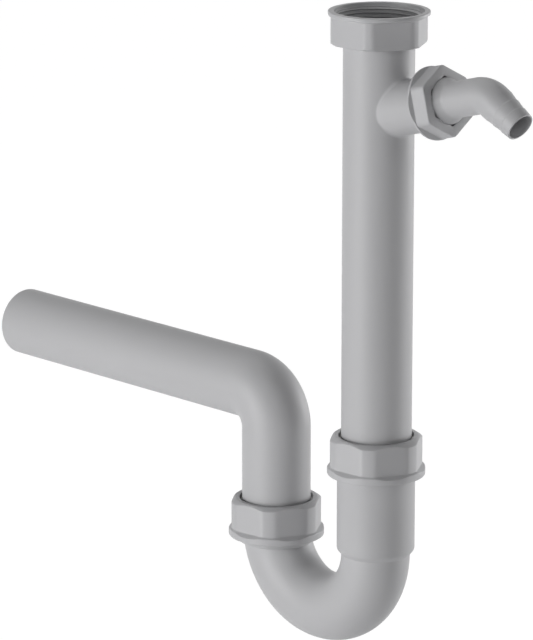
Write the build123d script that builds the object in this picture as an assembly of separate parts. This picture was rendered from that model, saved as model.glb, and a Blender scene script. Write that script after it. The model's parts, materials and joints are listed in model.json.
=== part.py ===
from build123d import *

import math
import os

# Kitchen sink trap in moulded plastic: a straight inlet pipe under a union nut, a U bend held
# by two slip nuts, an elbowed outlet pipe, and a side branch with a hose nozzle.
# Millimetres, +Z up. The origin is on the inlet pipe's axis, on the face where the sink waste
# presses on the gasket. The whole run of pipe lies in the XZ plane: the branch points to +X and
# the outlet pipe runs to the wall along -X.

# Pipes
pipe_d = 40.0
pipe_wall = 1.8
bend_inset = 0.4
bend_wall = 1.8
elbow_inside_r = 1.7
pipe_end_bevel = 1.0

# Clearances
loose_gap = 0.3
seat_gap = 0.1
thread_gap = 0.08

# Places on the pipe run
trap_drop = 303.0
leg_spacing = 81.8
outlet_rise = 79.4
outlet_reach = 224.4
branch_drop = 47.3
branch_tilt = 15.0

# Socket mouths: the cone seat's width, and the rim from it to the thread's pitch line.
# Threads are drawn plain at their pitch diameter.
seat_width = 1.7
seat_depth = 3.0
seat_rim = 1.16

# Union nut at the inlet, its walls measured from the thread's pitch line
union_flat_wall = 1.84
union_corner_wall = 4.44
union_rim_wall = 5.24
union_rim_h = 2.8
union_rim_ramp = 1.0
union_rim_step = 0.4
union_h = 18.5
union_turn = 2.0
union_mouth_step = 2.04
union_mouth_h = 1.9
union_lip = 2.6
union_lip_gap = 0.6

# Flange and gasket under the union nut
flange_inset = 0.96
flange_h = 2.5
gasket_h = 3.0
gasket_bore_step = 0.4

# Slip nuts, one on each leg of the trap bend, walls measured as above
slip_flat_wall = 1.84
slip_corner_wall = 3.64
slip_collar_wall = 4.74
slip_collar_h = 5.0
slip_collar_ramp = 1.8
slip_collar_step = 0.9
slip_h = 22.5
slip_lip = 2.8
slip_lip_gap = 1.6
inlet_nut_turn = 4.5
outlet_nut_turn = 6.0

# Washer and cone seal inside each slip nut
washer_h = 1.5
seal_head_h = 2.4
seal_nose_h = 1.8

# Sockets of the trap bend
inlet_socket_wall = 1.9
inlet_socket_h = 63.0
inlet_shoulder_h = 6.0
inlet_taper_h = 3.0
inlet_pipe_end_h = 26.0
outlet_socket_wall = 1.7
outlet_socket_h = 8.7
outlet_skirt_drop = 10.3
outlet_shoulder_drop = 5.3
slip_thread_h = 14.0

# Hose nozzle
nozzle_bore_r = 8.1
nozzle_wall = 2.0
nozzle_hub_step = 2.8
nozzle_hub_h = 4.9
nozzle_flare_h = 4.0
nozzle_straight = 27.7
nozzle_bend_inside_r = 4.9
nozzle_bend_angle = 45.0
nozzle_tail = 22.5
nozzle_tip_taper = 1.8
nozzle_tip_wall = 0.9
nozzle_flange_h = 2.1
barb_count = 3
barb_pitch = 6.4
barb_step = 0.35

# Branch nut, its walls measured from the thread's pitch line
branch_flat_wall = 1.915
branch_corner_wall = 4.115
branch_collar_wall = 4.615
branch_collar_h = 2.2
branch_collar_ramp = 0.9
branch_collar_step = 0.3
branch_nut_h = 11.8
branch_lip = 2.2
branch_lip_gap = 0.7
branch_lip_width = 2.365

# Side branch and its flat seal
branch_reach = 48.9
branch_thread_h = 5.2
branch_neck_step = 0.885
branch_bore_step = 3.885
branch_blend = 2.5
tee_tail = 7.7
branch_seal_h = 2.0

# Small edges
edge = 0.6
flat_edge = 0.5
slip_bevel_w = 3.0
slip_bevel_h = 2.0
union_bevel_w = 1.5
union_bevel_h = 1.0
cut_past = 1.0

# Radii, from the pipe's outside outwards and from the nozzle's bore outwards
pipe_r = pipe_d / 2
pipe_bore_r = pipe_r - pipe_wall
bend_outer_r = pipe_r - bend_inset
bend_bore_r = bend_outer_r - bend_wall
bend_r = leg_spacing / 2
elbow_r = pipe_r + elbow_inside_r
socket_bore_r = pipe_r + loose_gap
seat_mouth_r = socket_bore_r + seat_width
slip_thread_r = seat_mouth_r + seat_rim
slip_bore_r = slip_thread_r + thread_gap
flange_r = slip_thread_r - flange_inset
flange_loose_r = flange_r + loose_gap
inlet_socket_r = socket_bore_r + inlet_socket_wall
outlet_socket_r = socket_bore_r + outlet_socket_wall
gasket_bore_r = pipe_bore_r + gasket_bore_step
nozzle_r = nozzle_bore_r + nozzle_wall
nozzle_tip_r = nozzle_r - nozzle_tip_taper
nozzle_bend_r = nozzle_r + nozzle_bend_inside_r
nozzle_hub_r = nozzle_r + nozzle_hub_step
branch_nut_bore_r = nozzle_hub_r + branch_lip_gap
branch_nut_thread_r = branch_nut_bore_r + branch_lip_width
branch_thread_r = branch_nut_thread_r - thread_gap
branch_washer_r = branch_nut_thread_r - 3 * loose_gap
branch_r = branch_thread_r - branch_neck_step
branch_bore_r = branch_thread_r - branch_bore_step

# Heights, and distances along the branch from the inlet pipe's axis
trap_z = -trap_drop
outlet_x = -leg_spacing
seal_stack_h = seat_gap + seal_head_h + seat_gap + washer_h + seat_gap + slip_lip
inlet_mouth_z = trap_z + inlet_socket_h
inlet_shoulder_z = trap_z + inlet_shoulder_h
outlet_mouth_z = trap_z + outlet_socket_h
outlet_floor_z = trap_z - outlet_shoulder_drop
flange_top_z = -gasket_h - seat_gap
union_lip_top_z = flange_top_z - flange_h - seat_gap
union_bottom_z = union_lip_top_z - union_lip
tee_end_z = -branch_drop - branch_r - tee_tail
branch_slope = math.radians(branch_tilt)
branch_seam_s = (pipe_r + branch_r * math.sin(branch_slope)) / math.cos(branch_slope)
branch_root_s = branch_seam_s + 2 * branch_blend
branch_seal_s = branch_reach + seat_gap
nozzle_s = branch_seal_s + branch_seal_h + seat_gap
branch_lip_s = nozzle_s + nozzle_flange_h + seat_gap
branch_front_s = branch_lip_s + branch_lip


def turned(profile):
    """Solid turned about Z from its (radius, height) corners."""
    corners = [(radius, 0, height) for radius, height in profile]
    return revolve(make_face(Polyline(*corners, close=True)), Axis.Z)


def ring(outer_r, inner_r, bottom, top):
    """Plain ring on Z between two heights."""
    return turned([(inner_r, bottom), (outer_r, bottom), (outer_r, top), (inner_r, top)])


def rod(radius, bottom, top):
    """Plain round bar on Z between two heights."""
    return Pos(0, 0, bottom) * extrude(Circle(radius), amount=top - bottom)


def bent_rod(radius, centre, angle):
    """Round bar from the Z axis, bent about an axis along Y through centre, an (x, z) point."""
    start = Pos(0, 0, centre[1]) * Circle(radius)
    return revolve(start, Axis((centre[0], 0, centre[1]), (0, 1, 0)), angle)


def hexagon_blank(half, corner_r, collar_r, collar_h, ramp_h, step_h, height, bevel_w, bevel_h):
    """Solid nut, its round collar on z = 0, its closed end up and one corner towards +X.

    The six flats stand at half from the axis and run out over the collar on sloping ramps.
    """
    body = turned([
        (0, 0),
        (collar_r - edge, 0),
        (collar_r, edge),
        (collar_r, collar_h - step_h),
        (corner_r, collar_h),
        (corner_r, height - bevel_h),
        (corner_r - bevel_w, height),
        (0, height),
    ])
    slope = ramp_h / (collar_r - half)
    outside = collar_r + cut_past
    side = make_face(Polyline(
        (half - flat_edge, 0, height + cut_past),
        (half - flat_edge, 0, height),
        (half, 0, height - flat_edge),
        (half, 0, collar_h),
        (outside, 0, collar_h - slope * (outside - half)),
        (outside, 0, height + cut_past),
        close=True,
    ))
    cutter = extrude(side, amount=collar_r, dir=(0, 1, 0), both=True)
    for corner in range(6):
        body -= Rot(0, 0, 30 + 60 * corner) * cutter
    return body


def union_nut():
    """Nut that hangs on the inlet pipe's flange, open end up, for the sink waste's thread."""
    blank = hexagon_blank(
        slip_thread_r + union_flat_wall, slip_thread_r + union_corner_wall,
        slip_thread_r + union_rim_wall, union_rim_h, union_rim_ramp,
        union_rim_step, union_h, union_bevel_w, union_bevel_h,
    )
    top = union_bottom_z + union_h
    nut = Pos(0, 0, top) * Rot(180, 0, 0) * Rot(0, 0, -union_turn) * blank
    return nut - turned([
        (0, union_bottom_z - cut_past),
        (pipe_r + union_lip_gap, union_bottom_z - cut_past),
        (pipe_r + union_lip_gap, union_lip_top_z),
        (flange_loose_r, union_lip_top_z),
        (flange_loose_r, 0),
        (slip_bore_r, 0),
        (slip_bore_r, top - union_mouth_h),
        (slip_thread_r + union_mouth_step, top - union_mouth_h),
        (slip_thread_r + union_mouth_step, top + cut_past),
        (0, top + cut_past),
    ])


def gasket():
    """Flat rubber ring between the sink waste and the inlet pipe's flange."""
    return ring(flange_r, gasket_bore_r, -gasket_h, 0)


branch_frame = Plane(
    origin=(0, 0, -branch_drop),
    x_dir=(-math.sin(branch_slope), 0, math.cos(branch_slope)),
    z_dir=(math.cos(branch_slope), 0, math.sin(branch_slope)),
)


def inlet_tube():
    """Plain lower part of the inlet pipe, moulded in one with the tee above it."""
    end_z = trap_z + inlet_pipe_end_h
    return turned([
        (pipe_bore_r, end_z),
        (pipe_r - pipe_end_bevel, end_z),
        (pipe_r, end_z + pipe_end_bevel),
        (pipe_r, tee_end_z),
        (pipe_bore_r, tee_end_z),
    ])


def inlet_tee():
    """Upper part of the inlet pipe with its flange and the root of its side branch."""
    pipe = turned([
        (0, tee_end_z),
        (pipe_r, tee_end_z),
        (pipe_r, flange_top_z - flange_h),
        (flange_r, flange_top_z - flange_h),
        (flange_r, flange_top_z),
        (0, flange_top_z),
    ])
    body = pipe + branch_frame * rod(branch_r, 0, branch_root_s)
    seam = [e for e in body.edges() if on_seam(e)]
    body = fillet(seam, branch_blend)
    body -= rod(pipe_bore_r, tee_end_z - cut_past, flange_top_z + cut_past)
    return body - branch_frame * rod(branch_bore_r, 0, branch_root_s + cut_past)


def on_seam(e):
    """Whether an edge is the curve where the branch meets the pipe."""
    middle = e @ 0.5
    across = math.hypot(middle.X, middle.Y)
    return e.geom_type not in (GeomType.CIRCLE, GeomType.LINE) and abs(across - pipe_r) < seat_gap


def inlet_branch():
    """Threaded end of the side branch, moulded in one with the tee."""
    thread_s = branch_reach - branch_thread_h
    return branch_frame * turned([
        (branch_bore_r, branch_root_s),
        (branch_r, branch_root_s),
        (branch_r, thread_s),
        (branch_thread_r, thread_s),
        (branch_thread_r, branch_reach),
        (branch_bore_r, branch_reach),
    ])


def branch_seal():
    """Flat rubber ring between the branch and the hose nozzle."""
    return branch_frame * ring(
        branch_washer_r, branch_bore_r, branch_seal_s, branch_seal_s + branch_seal_h
    )


def branch_nut():
    """Small collared nut that clamps the hose nozzle on the branch."""
    blank = hexagon_blank(
        branch_thread_r + branch_flat_wall, branch_thread_r + branch_corner_wall,
        branch_thread_r + branch_collar_wall, branch_collar_h, branch_collar_ramp,
        branch_collar_step, branch_nut_h, edge, edge,
    )
    back = branch_front_s - branch_nut_h
    nut = Pos(0, 0, back) * blank
    nut -= rod(branch_nut_thread_r, back - cut_past, branch_lip_s)
    nut -= rod(branch_nut_bore_r, branch_lip_s - cut_past, branch_front_s + cut_past)
    return branch_frame * nut


def hose_nozzle():
    """Hollow hose tail: flange, flared hub, bend towards the ground and barbed end."""
    hub_end = nozzle_s + nozzle_hub_h
    bend_s = nozzle_s + nozzle_straight
    straight = turned([
        (0, nozzle_s),
        (branch_washer_r, nozzle_s),
        (branch_washer_r, nozzle_s + nozzle_flange_h),
        (nozzle_hub_r, nozzle_s + nozzle_flange_h),
        (nozzle_hub_r, hub_end),
        (nozzle_r, hub_end + nozzle_flare_h),
        (nozzle_r, bend_s),
        (0, bend_s),
    ])
    centre = (-nozzle_bend_r, bend_s)
    turn = Pos(-nozzle_bend_r, 0, bend_s) * Rot(0, -nozzle_bend_angle, 0) * Pos(nozzle_bend_r, 0, 0)
    tip_bore_r = nozzle_tip_r - nozzle_tip_wall
    tail_bore = turned([
        (0, 0), (nozzle_bore_r, 0), (tip_bore_r, nozzle_tail), (tip_bore_r, nozzle_tail + cut_past),
        (0, nozzle_tail + cut_past),
    ])
    body = straight + bent_rod(nozzle_r, centre, -nozzle_bend_angle) + turn * barbed_tail()
    body -= rod(nozzle_bore_r, nozzle_s - cut_past, bend_s)
    body -= bent_rod(nozzle_bore_r, centre, -nozzle_bend_angle)
    return branch_frame * (body - turn * tail_bore)


def barbed_tail():
    """End of the nozzle: each barb steps up towards the bend and slopes down to the tip."""
    plain = nozzle_tail - barb_count * barb_pitch
    fall = (nozzle_r - nozzle_tip_r) / barb_count
    profile = [(0, 0), (nozzle_r, 0)]
    for barb in range(barb_count):
        crest = nozzle_r - fall * barb
        start = plain + barb_pitch * barb
        profile.append((crest - (barb_step if barb else 0), start))
        profile.append((crest, start + barb_step))
    profile += [(nozzle_tip_r, nozzle_tail), (0, nozzle_tail)]
    return turned(profile)


def socket_mouth(mouth_z):
    """Hollow of a socket's mouth with its cone seat, wide end up."""
    slope = (seat_mouth_r - socket_bore_r) / seat_depth
    return turned([
        (0, mouth_z - seat_depth),
        (socket_bore_r, mouth_z - seat_depth),
        (seat_mouth_r + slope * cut_past, mouth_z + cut_past),
        (0, mouth_z + cut_past),
    ])


def trap_socket():
    """Long inlet socket, moulded in one with the trap bend below it."""
    tube = turned([
        (socket_bore_r, inlet_shoulder_z),
        (inlet_socket_r, inlet_shoulder_z),
        (inlet_socket_r, inlet_mouth_z - slip_thread_h),
        (slip_thread_r, inlet_mouth_z - slip_thread_h),
        (slip_thread_r, inlet_mouth_z),
        (socket_bore_r, inlet_mouth_z),
    ])
    return tube - socket_mouth(inlet_mouth_z)


def trap_outlet():
    """Short threaded outlet socket, moulded in one with the trap bend below it."""
    socket = ring(slip_thread_r, socket_bore_r, outlet_floor_z, outlet_mouth_z)
    return Pos(outlet_x, 0, 0) * (socket - socket_mouth(outlet_mouth_z))


def trap_bend():
    """U bend with the foot of each of its two sockets."""
    foot = turned([
        (0, trap_z),
        (bend_outer_r, trap_z),
        (inlet_socket_r, trap_z + inlet_taper_h),
        (inlet_socket_r, inlet_shoulder_z),
        (0, inlet_shoulder_z),
    ])
    skirt = turned([
        (0, trap_z - outlet_skirt_drop),
        (outlet_socket_r - edge, trap_z - outlet_skirt_drop),
        (outlet_socket_r, trap_z - outlet_skirt_drop + edge),
        (outlet_socket_r, outlet_floor_z),
        (0, outlet_floor_z),
    ])
    centre = (-bend_r, trap_z)
    body = bent_rod(bend_outer_r, centre, 180) + foot + Pos(outlet_x, 0, 0) * skirt
    body -= bent_rod(bend_bore_r, centre, 180)
    body -= rod(bend_bore_r, trap_z, inlet_shoulder_z + cut_past)
    return body - Pos(outlet_x, 0, 0) * rod(slip_thread_r, outlet_floor_z, trap_z + cut_past)


def cone_seal(mouth_z):
    """Rubber ring round a pipe, its tapered nose in the socket's cone seat."""
    bore = pipe_r + seat_gap
    slope = (seat_mouth_r - socket_bore_r) / seat_depth
    nose = seat_mouth_r - loose_gap
    head_r = slip_bore_r - 2 * loose_gap
    head_z = mouth_z + seat_gap
    return turned([
        (bore, mouth_z - seal_nose_h),
        (nose - slope * seal_nose_h, mouth_z - seal_nose_h),
        (nose, head_z),
        (head_r, head_z),
        (head_r, head_z + seal_head_h),
        (bore, head_z + seal_head_h),
    ])


def slip_washer(mouth_z):
    """Thin stiff ring between the cone seal and the slip nut's lip."""
    bottom = mouth_z + seat_gap + seal_head_h + seat_gap
    return ring(slip_bore_r - loose_gap, socket_bore_r, bottom, bottom + washer_h)


def slip_nut(mouth_z, corner_turn):
    """Collared nut that squeezes the cone seal, closed end up."""
    blank = hexagon_blank(
        slip_thread_r + slip_flat_wall, slip_thread_r + slip_corner_wall,
        slip_thread_r + slip_collar_wall, slip_collar_h, slip_collar_ramp,
        slip_collar_step, slip_h, slip_bevel_w, slip_bevel_h,
    )
    top = mouth_z + seal_stack_h
    nut = Pos(0, 0, top - slip_h) * Rot(0, 0, corner_turn) * blank
    nut -= rod(slip_bore_r, top - slip_h - cut_past, top - slip_lip)
    return nut - rod(pipe_r + slip_lip_gap, top - slip_lip - cut_past, top + cut_past)


def outlet_bend():
    """Short upright leg and tight elbow of the outlet pipe."""
    leg_end_z = outlet_floor_z + loose_gap
    elbow_z = trap_z + outlet_rise - elbow_r
    leg = turned([
        (0, leg_end_z),
        (pipe_r - pipe_end_bevel, leg_end_z),
        (pipe_r, leg_end_z + pipe_end_bevel),
        (pipe_r, elbow_z),
        (0, elbow_z),
    ])
    centre = (-elbow_r, elbow_z)
    body = leg + bent_rod(pipe_r, centre, -90)
    body -= rod(pipe_bore_r, leg_end_z - cut_past, elbow_z)
    return Pos(outlet_x, 0, 0) * (body - bent_rod(pipe_bore_r, centre, -90))


def outlet_pipe():
    """Long level run to the wall, moulded in one with the outlet's elbow."""
    run = outlet_reach - elbow_r
    level = turned([
        (pipe_bore_r, 0),
        (pipe_r, 0),
        (pipe_r, run - pipe_end_bevel),
        (pipe_r - pipe_end_bevel, run),
        (pipe_bore_r, run),
    ])
    return Pos(outlet_x - elbow_r, 0, trap_z + outlet_rise) * Rot(0, -90, 0) * level


over_outlet = Pos(outlet_x, 0, 0)
pieces = {
    "inlet_union_nut": union_nut(),
    "inlet_gasket": gasket(),
    "inlet_tee": inlet_tee(),
    "inlet_branch": inlet_branch(),
    "inlet_tube": inlet_tube(),
    "branch_seal": branch_seal(),
    "branch_nut": branch_nut(),
    "hose_nozzle": hose_nozzle(),
    "inlet_slip_nut": slip_nut(inlet_mouth_z, inlet_nut_turn),
    "inlet_slip_washer": slip_washer(inlet_mouth_z),
    "inlet_cone_seal": cone_seal(inlet_mouth_z),
    "trap_socket": trap_socket(),
    "trap_bend": trap_bend(),
    "trap_outlet": trap_outlet(),
    "outlet_slip_nut": over_outlet * slip_nut(outlet_mouth_z, outlet_nut_turn),
    "outlet_slip_washer": over_outlet * slip_washer(outlet_mouth_z),
    "outlet_cone_seal": over_outlet * cone_seal(outlet_mouth_z),
    "outlet_bend": outlet_bend(),
    "outlet_pipe": outlet_pipe(),
}

os.makedirs("parts", exist_ok=True)
for node, shape in pieces.items():
    export_step(shape, f"parts/{node}.step")
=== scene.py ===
import json
import math

import bmesh
import bpy
from bpy.props import FloatProperty, FloatVectorProperty, IntProperty, PointerProperty
from bpy.types import Operator, Panel, PropertyGroup
from mathutils import Matrix, Vector


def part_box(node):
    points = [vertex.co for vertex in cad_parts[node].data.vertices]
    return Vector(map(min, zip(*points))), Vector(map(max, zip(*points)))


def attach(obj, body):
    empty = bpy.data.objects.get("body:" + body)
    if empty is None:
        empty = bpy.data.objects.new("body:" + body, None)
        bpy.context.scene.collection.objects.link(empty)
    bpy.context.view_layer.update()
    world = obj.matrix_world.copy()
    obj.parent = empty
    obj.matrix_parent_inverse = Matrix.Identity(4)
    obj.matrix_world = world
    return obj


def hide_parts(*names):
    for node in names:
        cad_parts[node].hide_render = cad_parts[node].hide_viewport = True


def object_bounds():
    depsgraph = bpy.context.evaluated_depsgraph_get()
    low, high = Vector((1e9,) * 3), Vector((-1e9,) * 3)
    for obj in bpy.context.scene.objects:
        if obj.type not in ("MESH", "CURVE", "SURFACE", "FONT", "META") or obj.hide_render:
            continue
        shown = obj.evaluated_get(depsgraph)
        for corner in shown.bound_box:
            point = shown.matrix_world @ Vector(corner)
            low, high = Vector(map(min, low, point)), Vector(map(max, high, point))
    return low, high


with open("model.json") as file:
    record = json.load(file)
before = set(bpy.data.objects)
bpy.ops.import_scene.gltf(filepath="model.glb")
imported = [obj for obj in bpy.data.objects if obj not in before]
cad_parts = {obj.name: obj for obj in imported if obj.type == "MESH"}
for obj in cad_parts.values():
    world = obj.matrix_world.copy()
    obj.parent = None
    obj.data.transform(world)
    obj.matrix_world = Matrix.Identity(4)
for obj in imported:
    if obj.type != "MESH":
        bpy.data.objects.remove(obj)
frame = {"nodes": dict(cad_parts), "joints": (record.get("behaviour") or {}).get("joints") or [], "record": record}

bl_info = {
    "name": "Kitchen Sink Trap",
    "version": (1, 0, 0),
    "blender": (4, 5, 0),
    "location": "View3D > Sidebar > Sink Trap",
    "description": "Builds the detailed pieces of a tubular sink trap on its CAD frame",
    "category": "Add Mesh",
}

CAD_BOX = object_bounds()


def mount(name):
    """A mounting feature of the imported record."""
    return next(m for m in frame["record"]["mounts"] if m["name"] == name)


def joint(name):
    """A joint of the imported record."""
    return next(j for j in frame["joints"] if j["name"] == name)


PIPE_RADIUS = mount("outlet_spigot")["dims"]["r_mm"]
SINK_THREAD_RADIUS = mount("sink_thread")["dims"]["r_mm"]

# Tolerances for finding vertices, and the roundings that pieces share, in metres
HEIGHT_SLACK = 1e-6
RADIUS_SLACK = 2e-5
HAIR_EDGE = 0.0001
FINE_EDGE = 0.0002
SOFT_EDGE = 0.0003
FULL_EDGE = 0.0006
SHARP_ANGLE = math.radians(38.0)


def millimetres(name, description, size):
    """A length property, its default given in millimetres."""
    return FloatProperty(
        name=name, description=description, default=size / 1000, min=0.0,
        precision=5, unit="LENGTH", subtype="DISTANCE",
    )


def degrees(name, description, size):
    """An angle property, its default given in degrees."""
    return FloatProperty(
        name=name, description=description, default=math.radians(size), subtype="ANGLE",
    )


def whole_number(name, description, number):
    """A number of faces, rows or pieces."""
    return IntProperty(name=name, description=description, default=number, min=1)


def fraction(name, description, value):
    """A property from 0 to 1."""
    return FloatProperty(name=name, description=description, default=value, min=0.0, max=1.0)


def colour(name, description, value):
    """A colour property."""
    return FloatVectorProperty(
        name=name, description=description, default=value, size=3, min=0.0, max=1.0,
        subtype="COLOR",
    )


class TrapPipeSizes(PropertyGroup):
    radius: millimetres("Pipe Radius", "Outside radius of the inlet and outlet pipes", PIPE_RADIUS)
    wall: millimetres("Pipe Wall", "Wall thickness of both pipes", 1.8)
    end_bevel: millimetres("End Bevel", "Bevel on a pipe's cut end", 1.0)
    elbow_radius: millimetres("Elbow Radius", "Bend radius of the outlet elbow's axis", 21.7)
    elbow_rows: whole_number("Elbow Rows", "Faces along the elbow", 36)
    columns: whole_number("Columns", "Faces round a pipe", 144)


class TrapInletSizes(PropertyGroup):
    flange_radius: millimetres("Flange Radius", "Outside radius of the flange at the top", 22.2)
    flange_height: millimetres("Flange Height", "Thickness of the flange", 2.5)
    branch_radius: millimetres("Branch Radius", "Outside radius of the side branch", 15.0)
    branch_bore: millimetres("Branch Bore", "Inside radius of the side branch", 12.0)
    branch_blend: millimetres("Branch Blend", "Radius of the fillet at the branch's root", 2.5)
    foot: millimetres("Foot", "Length of the branch that is shaped into the fillet", 6.0)
    foot_rows: whole_number("Foot Rows", "Faces along the fillet", 8)
    thread_radius: millimetres("Thread Radius", "Pitch radius of the branch's thread", 15.885)
    thread_start: millimetres("Thread Start", "Distance of the thread from the pipe's axis", 43.7)
    reach: millimetres("Reach", "Distance of the branch's end from the pipe's axis", 48.9)
    patch_top: millimetres("Patch Top", "Depth where the branch's patch of the pipe starts", 18.0)
    patch_bottom: millimetres("Patch Bottom", "Depth where the branch's patch ends", 66.0)
    patch_rows: whole_number("Patch Rows", "Faces up the patch", 56)
    patch_columns: whole_number("Patch Columns", "Faces across the patch", 58)
    patch_rings: whole_number("Patch Rings", "Rings between patch and branch", 5)


class TrapBendSizes(PropertyGroup):
    radius: millimetres("Radius", "Outside radius of the bent pipe", 19.6)
    bore_radius: millimetres("Bore Radius", "Inside radius of the bent pipe", 17.8)
    socket_radius: millimetres("Socket Radius", "Outside radius of the inlet socket", 22.2)
    skirt_radius: millimetres("Skirt Radius", "Outside radius of the outlet socket", 22.0)
    socket_bore: millimetres("Socket Bore", "Inside radius of both sockets", 20.3)
    thread_radius: millimetres("Thread Radius", "Pitch radius of the sockets' threads", 23.16)
    thread_length: millimetres("Thread Length", "Length of each thread", 14.0)
    mouth_radius: millimetres("Mouth Radius", "Wide end of the cone seat", 22.0)
    mouth_depth: millimetres("Mouth Depth", "Depth of the cone seat", 3.0)
    leg: millimetres("Leg", "Length of the inlet side above the bend", 63.0)
    taper: millimetres("Taper", "Length of the taper under the inlet socket", 3.0)
    taper_edge: millimetres("Taper Edge", "Rounding of the taper's upper edge", 1.0)
    shoulder: millimetres("Shoulder", "Height of the inlet socket's floor above the bend", 6.0)
    skirt_drop: millimetres("Skirt Drop", "Depth of the outlet socket's foot", 10.3)
    shoulder_drop: millimetres("Shoulder Drop", "Depth of the outlet socket's floor", 5.3)
    foot_ledge: millimetres("Foot Ledge", "Least step from the bend out to the socket's foot", 0.35)
    rows: whole_number("Rows", "Faces along the bend", 60)


class TrapThreadSizes(PropertyGroup):
    pitch: millimetres("Pitch", "Rise of one thread turn", 2.309)
    sink_height: millimetres("Sink Thread Height", "Half the depth of the union nut's thread", 0.70)
    height: millimetres("Thread Height", "Half the depth of the slip and branch threads", 0.60)
    play: millimetres("Play", "Extra room between a thread and its nut, on each side", 0.10)
    lead: millimetres("Lead", "Plain length at a thread's start, cut clear of its mate", 0.60)
    run_out: fraction("Run Out", "Share of a turn in which a thread fades", 0.35)
    rows: whole_number("Rows", "Mesh rows in one thread turn", 10)


class TrapUnionNutSizes(PropertyGroup):
    half_flats: millimetres("Half Flats", "Distance from the axis to a flat", 25.0)
    corner_radius: millimetres("Corner Radius", "Radius of the rounded corners", 27.6)
    collar_radius: millimetres("Rim Radius", "Outside radius of the round rim", 28.4)
    collar_height: millimetres("Rim Height", "Height of the rim", 2.8)
    ramp: millimetres("Ramp", "Fall of the flats' ramps over the rim", 1.0)
    step: millimetres("Step", "Fall of the rim's face at the corners", 0.4)
    bevel_width: millimetres("Bevel Width", "Width of the bevel at the closed end", 1.5)
    bevel_height: millimetres("Bevel Height", "Height of the bevel at the closed end", 1.0)
    bore_radius: millimetres("Thread Radius", "Pitch radius of the thread", SINK_THREAD_RADIUS)
    mouth_radius: millimetres("Mouth Radius", "Radius of the recess at the mouth", 25.2)
    mouth_depth: millimetres("Mouth Depth", "Depth of the recess at the mouth", 1.9)
    seat_radius: millimetres("Seat Radius", "Radius of the bore round the pipe's flange", 22.5)
    lip_radius: millimetres("Lip Radius", "Radius of the hole round the pipe", 20.6)
    lip_height: millimetres("Lip Height", "Thickness of the lip under the flange", 2.6)
    columns: whole_number("Columns", "Faces round the nut", 288)
    turn: degrees("Turn", "Turn of the hexagon's corners", 2.0)


class TrapSlipNutSizes(PropertyGroup):
    half_flats: millimetres("Half Flats", "Distance from the axis to a flat", 25.0)
    corner_radius: millimetres("Corner Radius", "Radius of the rounded corners", 26.8)
    collar_radius: millimetres("Collar Radius", "Outside radius of the collar", 27.9)
    collar_height: millimetres("Collar Height", "Height of the collar", 5.0)
    ramp: millimetres("Ramp", "Fall of the flats' ramps over the collar", 1.8)
    step: millimetres("Step", "Fall of the collar's face at the corners", 0.9)
    bevel_width: millimetres("Bevel Width", "Width of the top bevel", 3.0)
    bevel_height: millimetres("Bevel Height", "Height of the top bevel", 2.0)
    bevel_edge: millimetres("Bevel Edge", "Rounding of the top bevel's edges", 0.4)
    bore_radius: millimetres("Thread Radius", "Pitch radius of the thread", 23.24)
    lip_radius: millimetres("Lip Radius", "Radius of the hole round the pipe", 21.6)
    lip_height: millimetres("Lip Height", "Thickness of the top lip", 2.8)
    thread_top: millimetres("Thread Top", "Height where the thread ends", 15.4)
    columns: whole_number("Columns", "Faces round the nut", 288)
    inlet_turn: degrees("Inlet Turn", "Turn of the inlet nut's corners", 4.5)
    outlet_turn: degrees("Outlet Turn", "Turn of the outlet nut's corners", 6.0)


class TrapBranchNutSizes(PropertyGroup):
    half_flats: millimetres("Half Flats", "Distance from the axis to a flat", 17.8)
    corner_radius: millimetres("Corner Radius", "Radius of the rounded corners", 20.0)
    collar_radius: millimetres("Collar Radius", "Outside radius of the collar", 20.5)
    collar_height: millimetres("Collar Height", "Height of the collar", 2.2)
    ramp: millimetres("Ramp", "Fall of the flats' ramps over the collar", 0.9)
    step: millimetres("Step", "Fall of the collar's face at the corners", 0.3)
    bevel_width: millimetres("Bevel Width", "Width of the front bevel", 0.6)
    bevel_height: millimetres("Bevel Height", "Height of the front bevel", 0.6)
    bore_radius: millimetres("Thread Radius", "Pitch radius of the thread", 15.965)
    lip_radius: millimetres("Lip Radius", "Radius of the hole round the nozzle", 13.9)
    lip_height: millimetres("Lip Height", "Thickness of the front lip", 2.2)
    height: millimetres("Height", "Length of the nut along the branch", 11.8)
    back: millimetres("Back", "Distance of the nut's back from the inlet pipe's axis", 43.7)
    thread_end: millimetres("Thread End", "Distance along the branch where the thread ends", 49.0)
    columns: whole_number("Columns", "Faces round the nut", 240)


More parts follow.
